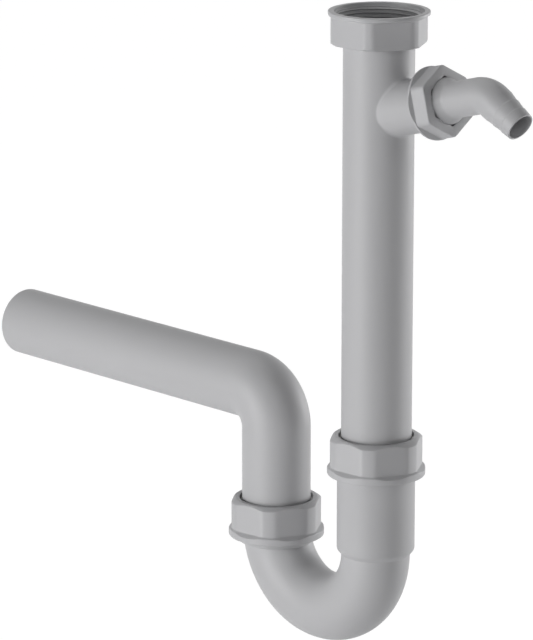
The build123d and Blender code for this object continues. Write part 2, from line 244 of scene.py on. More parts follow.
class TrapNozzleSizes(PropertyGroup):
    start: millimetres("Start", "Distance of the flange from the inlet pipe's axis", 51.1)
    flange_radius: millimetres("Flange Radius", "Outside radius of the flange", 15.065)
    flange_height: millimetres("Flange Height", "Thickness of the flange", 2.1)
    hub_radius: millimetres("Hub Radius", "Outside radius of the hub", 12.9)
    hub_height: millimetres("Hub Height", "Height of the hub's end over the flange's back", 4.9)
    hub_edge: millimetres("Hub Edge", "Rounding of the hub's end", 0.5)
    flare: millimetres("Flare", "Length of the flare after the hub", 4.0)
    flare_edge: millimetres("Flare Edge", "Rounding of the flare's end", 1.2)
    radius: millimetres("Radius", "Outside radius of the tail", 10.1)
    bore_radius: millimetres("Bore Radius", "Inside radius", 8.1)
    straight: millimetres("Straight", "Length of the straight part", 27.7)
    bend_radius: millimetres("Bend Radius", "Radius of the bend's axis", 15.0)
    bend_angle: degrees("Bend Angle", "Turn of the bend", 45.0)
    tail: millimetres("Tail", "Length of the tail after the bend", 22.5)
    tip_radius: millimetres("Tip Radius", "Outside radius of the tip", 8.3)
    tip_wall: millimetres("Tip Wall", "Wall at the tip", 0.9)
    barb_pitch: millimetres("Barb Pitch", "Distance from barb to barb", 6.4)
    barb_step: millimetres("Barb Step", "Height of a barb's step", 0.35)
    barb_edge: millimetres("Barb Edge", "Rounding of a barb's foot", 0.15)
    barbs: whole_number("Barbs", "Number of barbs", 3)
    bend_rows: whole_number("Bend Rows", "Faces along the bend", 24)
    columns: whole_number("Columns", "Faces round the nozzle", 120)


class TrapFinish(PropertyGroup):
    pipe_colour: colour("Pipe Colour", "Moulded plastic of the pipes", (0.457, 0.457, 0.467))
    nut_colour: colour("Nut Colour", "Moulded plastic of the nuts", (0.452, 0.452, 0.463))
    washer_colour: colour("Washer Colour", "Stiff washers inside the slip nuts", (0.78, 0.78, 0.75))
    rubber_colour: colour("Rubber Colour", "Gasket and cone seals", (0.028, 0.028, 0.031))
    floor_colour: colour("Floor Colour", "Studio floor", (0.86, 0.86, 0.87))
    grain: millimetres("Grain", "Size of the moulded grain", 0.35)
    grain_depth: fraction("Grain Depth", "Strength of the moulded grain", 0.10)
    roughness: fraction("Roughness", "Roughness of the plastic", 0.50)


# Profiles and turned pieces

def outline(corners, rows=(), closed=True):
    """Wire from (radius, height, rounding) corners, in metres.

    Each (low, high, spacing) row asks for upright lines between those heights to be cut so fine.
    """
    bm = bmesh.new()
    ring = [bm.verts.new((corner[0], 0.0, corner[1])) for corner in corners]
    for start, end in zip(ring, ring[1:]):
        bm.edges.new((start, end))
    if closed:
        bm.edges.new((ring[-1], ring[0]))
    for vert, corner in zip(ring, corners):
        if len(corner) > 2:
            bmesh.ops.bevel(
                bm, geom=[vert], offset=corner[2], offset_type="OFFSET", segments=3,
                profile=0.5, affect="VERTICES", clamp_overlap=True, material=-1,
            )
    for low, high, spacing in rows:
        for edge in bm.edges[:]:
            heights = [vert.co.z for vert in edge.verts]
            cuts = round(abs(heights[0] - heights[1]) / spacing) - 1
            inside = min(heights) > low - HEIGHT_SLACK and max(heights) < high + HEIGHT_SLACK
            if inside and cuts > 0:
                bmesh.ops.subdivide_edges(bm, edges=[edge], cuts=cuts)
    return bm


def turned(corners, columns, rows=(), closed=True):
    """Piece turned about Z from an outline."""
    bm = outline(corners, rows, closed)
    bmesh.ops.spin(
        bm, geom=bm.verts[:] + bm.edges[:], cent=(0, 0, 0), axis=(0, 0, 1),
        angle=math.tau, steps=columns, use_merge=True,
    )
    bmesh.ops.recalc_face_normals(bm, faces=bm.faces[:])
    return bm


def turn_about(bm, axis, angle):
    """Turns a whole mesh about X, Y or Z."""
    bmesh.ops.rotate(bm, verts=bm.verts[:], cent=(0, 0, 0), matrix=Matrix.Rotation(angle, 3, axis))


def shift(bm, x, z):
    """Moves a whole mesh along the pipe run's plane."""
    bmesh.ops.translate(bm, verts=bm.verts[:], vec=(x, 0, z))


def ease(value):
    """Smooth step from 0 to 1."""
    value = min(1.0, max(0.0, value))
    return value * value * (3 - 2 * value)


def between(value, start, end):
    """Where a value lies between two others, from 0 to 1."""
    return min(1.0, max(0.0, (value - start) / (end - start)))


def thread_rows(threads, low, high):
    """Rows for an outline that is to carry a thread between two heights."""
    return low, high, threads.pitch / threads.rows


def nut_mouth(nut, threads):
    """Corners of a nut's mouth, chamfered clear of its mate's thread, up to its own thread."""
    clear_radius = nut.bore_radius + threads.height
    chamfer = threads.lead / 2
    return [
        (clear_radius + chamfer, 0),
        (clear_radius, chamfer),
        (nut.bore_radius, threads.lead),
    ]


def nut_outside(nut, height, bevel_edge, foot_edge, collar_edge):
    """Corners of a nut from the hole in its closed end down to its collar."""
    return [
        (nut.lip_radius, height, SOFT_EDGE),
        (nut.corner_radius - nut.bevel_width, height, bevel_edge),
        (nut.corner_radius, height - nut.bevel_height, bevel_edge),
        (nut.corner_radius, nut.collar_height, foot_edge),
        (nut.collar_radius, nut.collar_height - nut.step, collar_edge),
        (nut.collar_radius, 0, FULL_EDGE),
    ]


def press_flats(bm, nut, height, wall_radius):
    """Presses six flats, with their ramps and bevelled ends, into a turned nut.

    The nut stands on its collar with its closed end up, and one corner points towards +X.
    """
    half = nut.half_flats
    corner = nut.corner_radius
    collar = nut.collar_radius
    top = nut.collar_height
    least_wall = 0.0005
    crease = 0.0006
    slope = nut.ramp / (collar - half)
    bevel_z = height - nut.bevel_height
    end_radius = corner - nut.bevel_width
    step_z = top - nut.step
    for vert in bm.verts:
        radius = math.hypot(vert.co.x, vert.co.y)
        z = vert.co.z
        if radius < wall_radius and z < bevel_z:
            continue
        angle = math.atan2(vert.co.y, vert.co.x)
        off = angle % (math.pi / 3) - math.pi / 6
        flat = half / math.cos(off)
        near = max(crease - abs(flat - corner), 0.0) / crease
        side = min(flat, corner) - near * near * crease / 4
        ramp_z = min(step_z, top - slope * (collar * math.cos(off) - half))
        edge_z = bevel_z + (corner - side) * nut.bevel_height / nut.bevel_width
        edge_z = max(min(edge_z, height - least_wall), bevel_z)
        end = min(end_radius, side - least_wall)
        if z <= step_z:
            move, rise = 0.0, (ramp_z - step_z) * between(z, 0.0, step_z)
        elif z <= top:
            share = between(z, step_z, top)
            move, rise = (side - corner) * share, (ramp_z - step_z) * (1 - share)
        elif z <= bevel_z:
            move, rise = side - corner, (edge_z - bevel_z) * between(z, top, bevel_z)
        else:
            share = between(z, bevel_z, height)
            move = (side - corner) * (1 - share) + (end - end_radius) * share
            rise = (edge_z - bevel_z) * (1 - share)
            if z > height - HEIGHT_SLACK:
                move *= between(radius, nut.lip_radius, end_radius)
        scale = (radius + move) / radius
        vert.co = (vert.co.x * scale, vert.co.y * scale, z + rise)


def cut_thread(bm, threads, wall, height, low, high, offset):
    """Cuts a right-handed thread in the wall at a radius, between two heights.

    A nut and its thread share their turns: offset is each one's shift from the pitch radius. Both
    run out clear of each other, a nut's thread outwards and a pipe's inwards.
    """
    run_out = threads.run_out * threads.pitch
    relief = math.copysign(height, offset)
    for vert in bm.verts:
        radius = math.hypot(vert.co.x, vert.co.y)
        height_in = low - HEIGHT_SLACK < vert.co.z < high + HEIGHT_SLACK
        if abs(radius - wall) > RADIUS_SLACK or not height_in:
            continue
        turn = vert.co.z / threads.pitch * math.tau - math.atan2(vert.co.y, vert.co.x)
        # A sine with a ninth of its third harmonic has straighter sides, and 0.9 makes it peak at 1
        wave = 0.9 * (math.sin(turn) - math.sin(3 * turn) / 9)
        fade = ease((vert.co.z - low) / run_out) * ease((high - vert.co.z) / run_out)
        scale = (wall + (offset + height * wave) * fade + relief * (1 - fade)) / radius
        vert.co.x *= scale
        vert.co.y *= scale


def bend(bm, start, radius, angle):
    """Bends a straight piece that runs along Z towards -X, from a height on."""
    for vert in bm.verts:
        past = vert.co.z - start
        if past <= 0:
            continue
        turn = min(past / radius, angle)
        run = past - turn * radius
        arm = radius + vert.co.x
        vert.co.x = arm * math.cos(turn) - radius - run * math.sin(turn)
        vert.co.z = start + arm * math.sin(turn) + run * math.cos(turn)


def branch_place():
    """Placement on the side branch: Z along it from the inlet pipe's axis, X up in its plane."""
    swivel = joint("nozzle_swivel")
    along = Vector(swivel["axis"]).normalized()
    origin = Vector(swivel["pos_m"])
    origin -= along * (origin.x / along.x)
    side = Vector((0.0, -1.0, 0.0))
    up = side.cross(along)
    return Matrix.Translation(origin) @ Matrix((up, side, along)).transposed().to_4x4()


def push_out(verts, radius):
    """Moves vertices straight out from Z, or in, to a radius."""
    for vert in verts:
        scale = radius / math.hypot(vert.co.x, vert.co.y)
        vert.co = (vert.co.x * scale, vert.co.y * scale, vert.co.z)


def finished(bm, name, body, nodes, finish):
    """Puts a piece in the frame, smooth but for its sharp edges."""
    mesh = bpy.data.meshes.new(name)
    bm.to_mesh(mesh)
    bm.free()
    mesh.shade_smooth()
    mesh.set_sharp_from_angle(angle=SHARP_ANGLE)
    mesh.materials.append(finish)
    piece = bpy.data.objects.new(name, mesh)
    bpy.context.scene.collection.objects.link(piece)
    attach(piece, body)
    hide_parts(*nodes)


# Materials

GRAIN_RELIEF = 0.0002


def new_group(name, inputs, outputs):
    """Empty shader node group with named sockets."""
    group = bpy.data.node_groups.new(name, "ShaderNodeTree")
    for label, kind, value in inputs:
        socket = group.interface.new_socket(name=label, in_out="INPUT", socket_type=kind)
        socket.default_value = value
    for label, kind in outputs:
        group.interface.new_socket(name=label, in_out="OUTPUT", socket_type=kind)
    return group, group.nodes.new("NodeGroupInput"), group.nodes.new("NodeGroupOutput")


def moulded_surface():
    """Node group for moulded plastic and rubber: flow mottling, fine grain and dull patches."""
    known = bpy.data.node_groups.get("Moulded Surface")
    if known:
        return known
    group, given, result = new_group(
        "Moulded Surface",
        [
            ("Colour", "NodeSocketColor", (0.5, 0.5, 0.5, 1)),
            ("Mottle", "NodeSocketFloat", 0.04),
            ("Roughness", "NodeSocketFloat", 0.5),
            ("Roughness Spread", "NodeSocketFloat", 0.06),
            ("Grain Scale", "NodeSocketFloat", 2500.0),
        ],
        [
            ("Colour", "NodeSocketColor"),
            ("Roughness", "NodeSocketFloat"),
            ("Height", "NodeSocketFloat"),
        ],
    )
    nodes, links = group.nodes, group.links
    place = nodes.new("ShaderNodeTexCoord")

    flow = nodes.new("ShaderNodeTexNoise")
    flow.inputs["Scale"].default_value = 14.0
    flow.inputs["Detail"].default_value = 3.0
    links.new(place.outputs["Object"], flow.inputs["Vector"])
    specks = nodes.new("ShaderNodeTexNoise")
    specks.inputs["Detail"].default_value = 2.0
    links.new(place.outputs["Object"], specks.inputs["Vector"])
    links.new(given.outputs["Grain Scale"], specks.inputs["Scale"])

    shade = nodes.new("ShaderNodeMath")
    shade.operation = "ADD"
    links.new(flow.outputs["Fac"], shade.inputs[0])
    links.new(specks.outputs["Fac"], shade.inputs[1])
    centred = nodes.new("ShaderNodeMath")
    centred.operation = "SUBTRACT"
    centred.inputs[1].default_value = 1.0
    links.new(shade.outputs[0], centred.inputs[0])
    spread = nodes.new("ShaderNodeMath")
    spread.operation = "MULTIPLY_ADD"
    spread.inputs[2].default_value = 1.0
    links.new(centred.outputs[0], spread.inputs[0])
    links.new(given.outputs["Mottle"], spread.inputs[1])
    tint = nodes.new("ShaderNodeVectorMath")
    tint.operation = "SCALE"
    links.new(given.outputs["Colour"], tint.inputs[0])
    links.new(spread.outputs[0], tint.inputs["Scale"])

    dull = nodes.new("ShaderNodeMath")
    dull.operation = "MULTIPLY_ADD"
    links.new(centred.outputs[0], dull.inputs[0])
    links.new(given.outputs["Roughness Spread"], dull.inputs[1])
    links.new(given.outputs["Roughness"], dull.inputs[2])

    links.new(tint.outputs[0], result.inputs["Colour"])
    links.new(dull.outputs[0], result.inputs["Roughness"])
    links.new(specks.outputs["Fac"], result.inputs["Height"])
    return group


def moulded_material(name, value, mottle, roughness, grain, depth, specular=0.5):
    """Moulded plastic or rubber material."""
    known = bpy.data.materials.get(name)
    if known:
        return known
    material = bpy.data.materials.new(name)
    material.use_nodes = True
    nodes, links = material.node_tree.nodes, material.node_tree.links
    shader = nodes["Principled BSDF"]
    shader.inputs["Specular IOR Level"].default_value = specular
    surface = nodes.new("ShaderNodeGroup")
    surface.node_tree = moulded_surface()
    surface.inputs["Colour"].default_value = (*value, 1.0)
    surface.inputs["Mottle"].default_value = mottle
    surface.inputs["Roughness"].default_value = roughness
    surface.inputs["Grain Scale"].default_value = 1 / grain
    relief = nodes.new("ShaderNodeBump")
    relief.inputs["Strength"].default_value = depth
    relief.inputs["Distance"].default_value = GRAIN_RELIEF
    links.new(surface.outputs["Colour"], shader.inputs["Base Color"])
    links.new(surface.outputs["Roughness"], shader.inputs["Roughness"])
    links.new(surface.outputs["Height"], relief.inputs["Height"])
    links.new(relief.outputs["Normal"], shader.inputs["Normal"])
    return material


def pipe_plastic():
    """Finish of the pipes and of the nozzle."""
    finish = bpy.context.scene.trap_finish
    return moulded_material("Pipe Plastic", finish.pipe_colour, mottle=0.05,
                            roughness=finish.roughness, grain=finish.grain,
                            depth=finish.grain_depth)


def nut_plastic():
    """Finish of the nuts, a little glossier than the pipes."""
    finish = bpy.context.scene.trap_finish
    return moulded_material("Nut Plastic", finish.nut_colour, mottle=0.05,
                            roughness=finish.roughness - 0.04, grain=finish.grain,
                            depth=finish.grain_depth)


def washer_plastic():
    """Finish of the stiff washers in the slip nuts."""
    finish = bpy.context.scene.trap_finish
    return moulded_material("Washer Plastic", finish.washer_colour, mottle=0.03, roughness=0.38,
                            grain=finish.grain, depth=0.5 * finish.grain_depth)


def seal_rubber():
    """Finish of the gasket and the seals."""
    finish = bpy.context.scene.trap_finish
    return moulded_material("Seal Rubber", finish.rubber_colour, mottle=0.25, roughness=0.72,
                            grain=0.8 * finish.grain, depth=2.0 * finish.grain_depth,
                            specular=0.3)


# Pieces

class TRAP_OT_union_nut(Operator):
    """Build the open nut with its round rim and its sink thread"""
    bl_idname = "trap.union_nut"
    bl_label = "Union Nut"

    def execute(self, context):
        nut = context.scene.trap_union_nut
        threads = context.scene.trap_threads
        low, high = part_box("inlet_union_nut")
        height = high.z - low.z
        face = high.z  # the depth of the frame's level 0, where the sink waste presses
        lip = height - nut.lip_height
        bm = turned([
            (nut.mouth_radius, 0, SOFT_EDGE),
            (nut.mouth_radius, nut.mouth_depth, SOFT_EDGE),
            (nut.bore_radius + threads.sink_height, nut.mouth_depth),
            (nut.bore_radius, nut.mouth_depth + threads.lead),
            (nut.bore_radius, face),
            (nut.seat_radius, face),
            (nut.seat_radius, lip),
            (nut.lip_radius, lip),
            *nut_outside(nut, height, SOFT_EDGE, FINE_EDGE, FINE_EDGE),
        ], nut.columns, rows=[thread_rows(threads, nut.mouth_depth + threads.lead, face)])
        press_flats(bm, nut, height, (nut.corner_radius + nut.mouth_radius) / 2)
        turn_about(bm, "X", math.pi)
        turn_about(bm, "Z", nut.turn)
        shift(bm, 0, high.z)
        cut_thread(bm, threads, nut.bore_radius, threads.sink_height,
                   0.0, high.z - nut.mouth_depth - threads.lead, threads.play)
        finished(bm, "UnionNut", "union_nut", ["inlet_union_nut"],
                 nut_plastic())
        return {"FINISHED"}


class TRAP_OT_slip_nuts(Operator):
    """Build the two collared nuts that hold the trap bend"""
    bl_idname = "trap.slip_nuts"
    bl_label = "Slip Nuts"

    def execute(self, context):
        sizes = context.scene.trap_slip_nut
        self.slip_nut(context, "InletSlipNut", "inlet_slip_nut", sizes.inlet_turn)
        self.slip_nut(context, "OutletSlipNut", "outlet_slip_nut", sizes.outlet_turn)
        return {"FINISHED"}

    def slip_nut(self, context, name, node, turn):
        """One slip nut, its thread cut about its own axis."""
        nut = context.scene.trap_slip_nut
        threads = context.scene.trap_threads
        low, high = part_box(node)
        height = high.z - low.z
        lip = height - nut.lip_height
        bm = turned([
            *nut_mouth(nut, threads),
            (nut.bore_radius, nut.thread_top),
            (nut.bore_radius, lip, SOFT_EDGE),
            (nut.lip_radius, lip),
            *nut_outside(nut, height, nut.bevel_edge, SOFT_EDGE, SOFT_EDGE),
        ], nut.columns, rows=[thread_rows(threads, threads.lead, nut.thread_top)])
        press_flats(bm, nut, height, (nut.corner_radius + nut.bore_radius) / 2)
        turn_about(bm, "Z", turn)
        shift(bm, 0, low.z)
        cut_thread(bm, threads, nut.bore_radius, threads.height,
                   low.z + threads.lead, low.z + nut.thread_top, threads.play)
        shift(bm, (low.x + high.x) / 2, 0)
        finished(bm, name, node, [node], nut_plastic())


class TRAP_OT_branch_nut(Operator):
    """Build the small nut that clamps the hose nozzle"""
    bl_idname = "trap.branch_nut"
    bl_label = "Branch Nut"

    def execute(self, context):
        nut = context.scene.trap_branch_nut
        threads = context.scene.trap_threads
        height = nut.height
        lip = height - nut.lip_height
        bm = turned([
            *nut_mouth(nut, threads),
            (nut.bore_radius, nut.thread_end - nut.back),
            (nut.bore_radius, lip, FINE_EDGE),
            (nut.lip_radius, lip),
            *nut_outside(nut, height, FINE_EDGE, FINE_EDGE, HAIR_EDGE),
        ], nut.columns, rows=[thread_rows(threads, threads.lead, nut.thread_end - nut.back)])
        press_flats(bm, nut, height, (nut.corner_radius + nut.bore_radius) / 2)
        shift(bm, 0, nut.back)
        cut_thread(bm, threads, nut.bore_radius, threads.height,
                   nut.back + threads.lead, nut.thread_end, threads.play)
        bm.transform(branch_place())
        finished(bm, "BranchNut", "branch_nut", ["branch_nut"], nut_plastic())
        return {"FINISHED"}


class TRAP_OT_hose_nozzle(Operator):
    """Build the bent hose nozzle with its flange, hub and barbs"""
    bl_idname = "trap.hose_nozzle"
    bl_label = "Hose Nozzle"

    def execute(self, context):
        nozzle = context.scene.trap_nozzle
        arc = nozzle.bend_angle * nozzle.bend_radius
        bend_start = nozzle.straight
        tail_start = bend_start + arc
        end = tail_start + nozzle.tail
        tip_bore = nozzle.tip_radius - nozzle.tip_wall
        corners = [
            (nozzle.bore_radius, 0, SOFT_EDGE),
            (nozzle.flange_radius, 0, FINE_EDGE),
            (nozzle.flange_radius, nozzle.flange_height, FINE_EDGE),
            (nozzle.hub_radius, nozzle.flange_height, FINE_EDGE),
            (nozzle.hub_radius, nozzle.hub_height, nozzle.hub_edge),
            (nozzle.radius, nozzle.hub_height + nozzle.flare, nozzle.flare_edge),
            (nozzle.radius, bend_start),
            (nozzle.radius, tail_start),
        ]
        plain = end - nozzle.barbs * nozzle.barb_pitch
        fall = (nozzle.radius - nozzle.tip_radius) / nozzle.barbs
        for barb in range(nozzle.barbs):
            crest = nozzle.radius - fall * barb
            start = plain + nozzle.barb_pitch * barb
            if barb:
                corners.append((crest - nozzle.barb_step, start, nozzle.barb_edge))
            corners.append((crest, start + nozzle.barb_step, FINE_EDGE))
        corners += [
            (nozzle.tip_radius, end, SOFT_EDGE),
            (tip_bore, end, FINE_EDGE),
            (nozzle.bore_radius, tail_start),
            (nozzle.bore_radius, bend_start),
        ]
        rows = [(bend_start, tail_start, arc / nozzle.bend_rows)]
        bm = turned(corners, nozzle.columns, rows)
        bend(bm, bend_start, nozzle.bend_radius, nozzle.bend_angle)
        shift(bm, 0, nozzle.start)
        bm.transform(branch_place())
        finished(bm, "HoseNozzle", "hose_nozzle", ["hose_nozzle"], pipe_plastic())
        return {"FINISHED"}


class TRAP_OT_outlet_bend(Operator):
    """Build the outlet pipe with its tight elbow"""
    bl_idname = "trap.outlet_bend"
    bl_label = "Outlet Bend"

    def execute(self, context):
        pipe = context.scene.trap_pipes
        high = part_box("outlet_bend")[1]
        low = Vector((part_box("outlet_pipe")[0].x, 0.0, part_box("outlet_bend")[0].z))
        bore = pipe.radius - pipe.wall
        bevel = pipe.end_bevel
        arc = math.pi / 2 * pipe.elbow_radius
        leg = high.z - pipe.radius - pipe.elbow_radius - low.z
        level = high.x - pipe.radius - pipe.elbow_radius - low.x
        end = leg + arc + level
        bm = turned([
            (bore, 0, FINE_EDGE),
            (pipe.radius - bevel, 0, HAIR_EDGE),
            (pipe.radius, bevel, SOFT_EDGE),
            (pipe.radius, leg),
            (pipe.radius, leg + arc),
            (pipe.radius, end - bevel, SOFT_EDGE),
            (pipe.radius - bevel, end, FINE_EDGE),
            (bore, end, FINE_EDGE),
            (bore, leg + arc),
            (bore, leg),
        ], pipe.columns, rows=[(leg, leg + arc, arc / pipe.elbow_rows)])
        bend(bm, leg, pipe.elbow_radius, math.pi / 2)
        shift(bm, high.x - pipe.radius, low.z)
        finished(bm, "OutletBend", "outlet_bend", ["outlet_bend", "outlet_pipe"],
                 pipe_plastic())
        return {"FINISHED"}


class TRAP_OT_inlet_tube(Operator):
    """Build the inlet pipe with its flange and its side branch"""
    bl_idname = "trap.inlet_tube"
    bl_label = "Inlet Tube"

    def execute(self, context):
        scene = context.scene
        pipe = scene.trap_pipes
        bore = pipe.radius - pipe.wall
        middle = bore + pipe.wall / 2
        bm = self.pipe(pipe, scene.trap_inlet, bore)
        branch = self.branch(pipe, scene.trap_inlet, scene.trap_threads, bore)
        mesh = bpy.data.meshes.new("Branch")
        branch.to_mesh(mesh)
        branch.free()
        bm.from_mesh(mesh)
        bpy.data.meshes.remove(mesh)
        rims = [edge for edge in bm.edges if edge.is_boundary]
        inner = [edge for edge in rims if edge.verts[0].co.xy.length < middle]
        outer = [edge for edge in rims if edge.verts[0].co.xy.length > middle]
        self.patch(bm, inner, bore, scene.trap_inlet.patch_rings)
        self.patch(bm, outer, pipe.radius, scene.trap_inlet.patch_rings)
        bmesh.ops.recalc_face_normals(bm, faces=bm.faces[:])
        finished(bm, "InletTube", "inlet_tube", ["inlet_tee", "inlet_branch", "inlet_tube"],
                 pipe_plastic())
        return {"FINISHED"}

    def pipe(self, pipe, inlet, bore):
        """The pipe with an open patch where the branch goes."""
        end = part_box("inlet_tube")[0].z
        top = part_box("inlet_tee")[1].z
        bottom_z = -inlet.patch_bottom
        top_z = -inlet.patch_top
        bm = turned([
            (bore, end, FINE_EDGE),
            (pipe.radius - pipe.end_bevel, end, HAIR_EDGE),
            (pipe.radius, end + pipe.end_bevel, SOFT_EDGE),
            (pipe.radius, bottom_z),
            (pipe.radius, top_z),
            (pipe.radius, top - inlet.flange_height),
            (inlet.flange_radius, top - inlet.flange_height, FINE_EDGE),
            (inlet.flange_radius, top, FINE_EDGE),
            (bore, top, FINE_EDGE),
            (bore, top_z),
            (bore, bottom_z),
        ], pipe.columns, rows=[(bottom_z, top_z, (top_z - bottom_z) / inlet.patch_rows)])
        half = math.pi * inlet.patch_columns / pipe.columns
        opened = []
        for face in bm.faces:
            middle = face.calc_center_median()
            if bottom_z < middle.z < top_z and abs(math.atan2(middle.y, middle.x)) < half:
                opened.append(face)
        bmesh.ops.delete(bm, geom=opened, context="FACES")
        return bm

    def branch(self, pipe, inlet, threads, bore):
        """The branch, open at its foot, which is moulded to the pipe with a fillet."""
        foot = inlet.foot
        bm = turned([
            (inlet.branch_radius, 0),
            (inlet.branch_radius, foot),
            (inlet.branch_radius, inlet.thread_start),
            (inlet.thread_radius, inlet.thread_start),
            (inlet.thread_radius, inlet.reach - threads.lead),
            (inlet.thread_radius - threads.height, inlet.reach, FINE_EDGE),
            (inlet.branch_bore, inlet.reach, FINE_EDGE),
            (inlet.branch_bore, 0),
        ], 2 * (inlet.patch_rows + inlet.patch_columns), rows=[
            (0, foot, foot / inlet.foot_rows),
            thread_rows(threads, inlet.thread_start, inlet.reach - threads.lead),
        ], closed=False)
        cut_thread(bm, threads, inlet.thread_radius, threads.height,
                   inlet.thread_start, inlet.reach - threads.lead, -threads.play)
        place = branch_place()
        turn = place.to_3x3()
        along = turn @ Vector((0, 0, 1))
        for vert in bm.verts:
            x, y, run = vert.co
            inside = math.hypot(x, y) < (inlet.branch_radius + inlet.branch_bore) / 2
            if run > (0 if inside else foot) + HEIGHT_SLACK:
                vert.co = place @ vert.co
                continue
            wall = bore if inside else pipe.radius
            seam_run = (math.sqrt(wall * wall - y * y) - (turn @ Vector((x, 0, 0))).x) / along.x
            seam = place @ Vector((x, y, seam_run))
            if inside:
                vert.co = seam
                continue
            branch_side = (turn @ Vector((x, y, 0))).normalized()
            pipe_side = Vector((seam.x, seam.y, 0)).normalized()
            width = inlet.branch_blend * math.tan(branch_side.angle(pipe_side) / 2)
            across = pipe_side.cross(branch_side.cross(pipe_side).normalized())
            start = seam + across * width
            start.xy *= wall / start.xy.length
            share = run / foot
            vert.co = (start * (1 - share) ** 2 + seam * (2 * share * (1 - share))
                       + (seam + along * width) * share ** 2)
        return bm

    def patch(self, bm, rims, radius, rings):
        """Closes the wall between the pipe's opening and the branch's foot."""
        made = bmesh.ops.bridge_loops(bm, edges=rims)
        spokes = {edge for face in made["faces"] for edge in face.edges} - set(rims)
        cut = bmesh.ops.subdivide_edges(bm, edges=list(spokes), cuts=rings, use_grid_fill=True)
        push_out({v for v in cut["geom_inner"] if isinstance(v, bmesh.types.BMVert)}, radius)


class TRAP_OT_trap_bend(Operator):
    """Build the U bend with its two sockets and their threads"""
    bl_idname = "trap.trap_bend"
    bl_label = "Trap Bend"

    def execute(self, context):
        sizes = context.scene.trap_bend
        threads = context.scene.trap_threads
        inlet = Vector(joint("trap_swivel")["pos_m"])
        outlet = Vector(joint("outlet_swivel")["pos_m"])
        radius = (inlet.x - outlet.x) / 2
        leg = sizes.leg
        arc = math.pi * radius
        skirt = sizes.skirt_drop - sizes.shoulder_drop
        foot = leg + arc
        end = foot + sizes.skirt_drop + outlet.z - inlet.z + leg
        bm = turned([
            (sizes.mouth_radius, 0, HAIR_EDGE),
            (sizes.thread_radius - threads.height, 0, HAIR_EDGE),
            (sizes.thread_radius, threads.lead),
            (sizes.thread_radius, sizes.thread_length),
            (sizes.socket_radius, sizes.thread_length, FINE_EDGE),
            (sizes.socket_radius, leg - sizes.taper, sizes.taper_edge),
            (sizes.radius, leg),
            (sizes.radius, foot),
            (sizes.skirt_radius, foot, FULL_EDGE),
            (sizes.skirt_radius, foot + skirt),
            (sizes.thread_radius, foot + skirt),
            (sizes.thread_radius, end - threads.lead),
            (sizes.thread_radius - threads.height, end, HAIR_EDGE),
            (sizes.mouth_radius, end, HAIR_EDGE),
            (sizes.socket_bore, end - sizes.mouth_depth),
            (sizes.socket_bore, foot + skirt),
            (sizes.bore_radius, foot + skirt),
            (sizes.bore_radius, leg),
            (sizes.bore_radius, leg - sizes.shoulder),
            (sizes.socket_bore, leg - sizes.shoulder),
            (sizes.socket_bore, sizes.mouth_depth),
        ], context.scene.trap_pipes.columns, rows=[
            thread_rows(threads, threads.lead, sizes.thread_length),
            (leg, foot + skirt, arc / sizes.rows),
            thread_rows(threads, foot + skirt, end - threads.lead),
        ])
        for vert in bm.verts:
            if vert.co.z > leg + HEIGHT_SLACK:
                self.follow(vert, sizes, radius, foot)
        turn_about(bm, "X", math.pi)
        bmesh.ops.translate(bm, verts=bm.verts[:], vec=inlet)
        cut_thread(bm, threads, sizes.thread_radius, threads.height,
                   inlet.z - sizes.thread_length, inlet.z - threads.lead, -threads.play)
        shift(bm, -outlet.x, 0)
        cut_thread(bm, threads, sizes.thread_radius, threads.height,
                   outlet.z - sizes.thread_length, outlet.z - threads.lead, -threads.play)
        shift(bm, outlet.x, 0)
        bmesh.ops.recalc_face_normals(bm, faces=bm.faces[:])
        finished(bm, "TrapBend", "trap_bend", ["trap_socket", "trap_bend", "trap_outlet"],
                 pipe_plastic())
        return {"FINISHED"}

    def follow(self, vert, sizes, radius, foot):
        """Lays a vertex past the leg along the bend, or along the outlet socket after it.

        The bend runs into the socket's foot outside and into its floor inside, both level.
        """
        x, y, run = vert.co
        width = math.hypot(x, y)
        if width < sizes.radius + RADIUS_SLACK:
            inside = width < (sizes.radius + sizes.bore_radius) / 2
            drop = sizes.shoulder_drop if inside else sizes.skirt_drop
            last = foot + sizes.skirt_drop - sizes.shoulder_drop if inside else foot
            arm = radius + x
            turn = (run - sizes.leg) / (last - sizes.leg) * (math.pi - math.asin(drop / arm))
            vert.co.x = arm * math.cos(turn) - radius
            vert.co.z = sizes.leg + arm * math.sin(turn)
            return
        past = run - foot
        reach = radius + sizes.radius * x / width
        bulge = math.hypot(radius - math.sqrt(reach ** 2 - sizes.skirt_drop ** 2),
                           sizes.radius * y / width) + sizes.foot_ledge - sizes.skirt_radius
        share = 1 - past / (sizes.skirt_drop - sizes.shoulder_drop)
        scale = 1 + max(0, bulge) * max(0, share) / width
        vert.co = (-2 * radius - x * scale, y * scale, sizes.leg + sizes.skirt_drop - past)


class TRAP_OT_rings(Operator):
    """Give the gasket, the seals and the washers their finish"""
    bl_idname = "trap.rings"
    bl_label = "Seals and Washers"

    def execute(self, context):
        for node in ("inlet_gasket", "branch_seal", "inlet_cone_seal", "outlet_cone_seal"):
            self.coat(node, seal_rubber())
        for node in ("inlet_slip_washer", "outlet_slip_washer"):
            self.coat(node, washer_plastic())
        return {"FINISHED"}

    def coat(self, node, finish):
        """Gives a CAD node one finish."""
        mesh = frame["nodes"][node].data
        mesh.materials.clear()
        mesh.materials.append(finish)


# Stage

CAMERA_PLACE = Vector((1.5433, -1.5555, 0.3991))
CAMERA_AIM = Vector((-0.0429, -0.0450, -0.1661))
LAMP_AIM = Vector((-0.05, 0.0, -0.18))
LENS = 226.5
FLOOR_HALF = 12.0
FLOOR_DROP = 0.3
FLOOR_GLOW = 1.05
FLOOR_GLOW_SHARE = 0.95
WORLD_LIGHT = 0.03
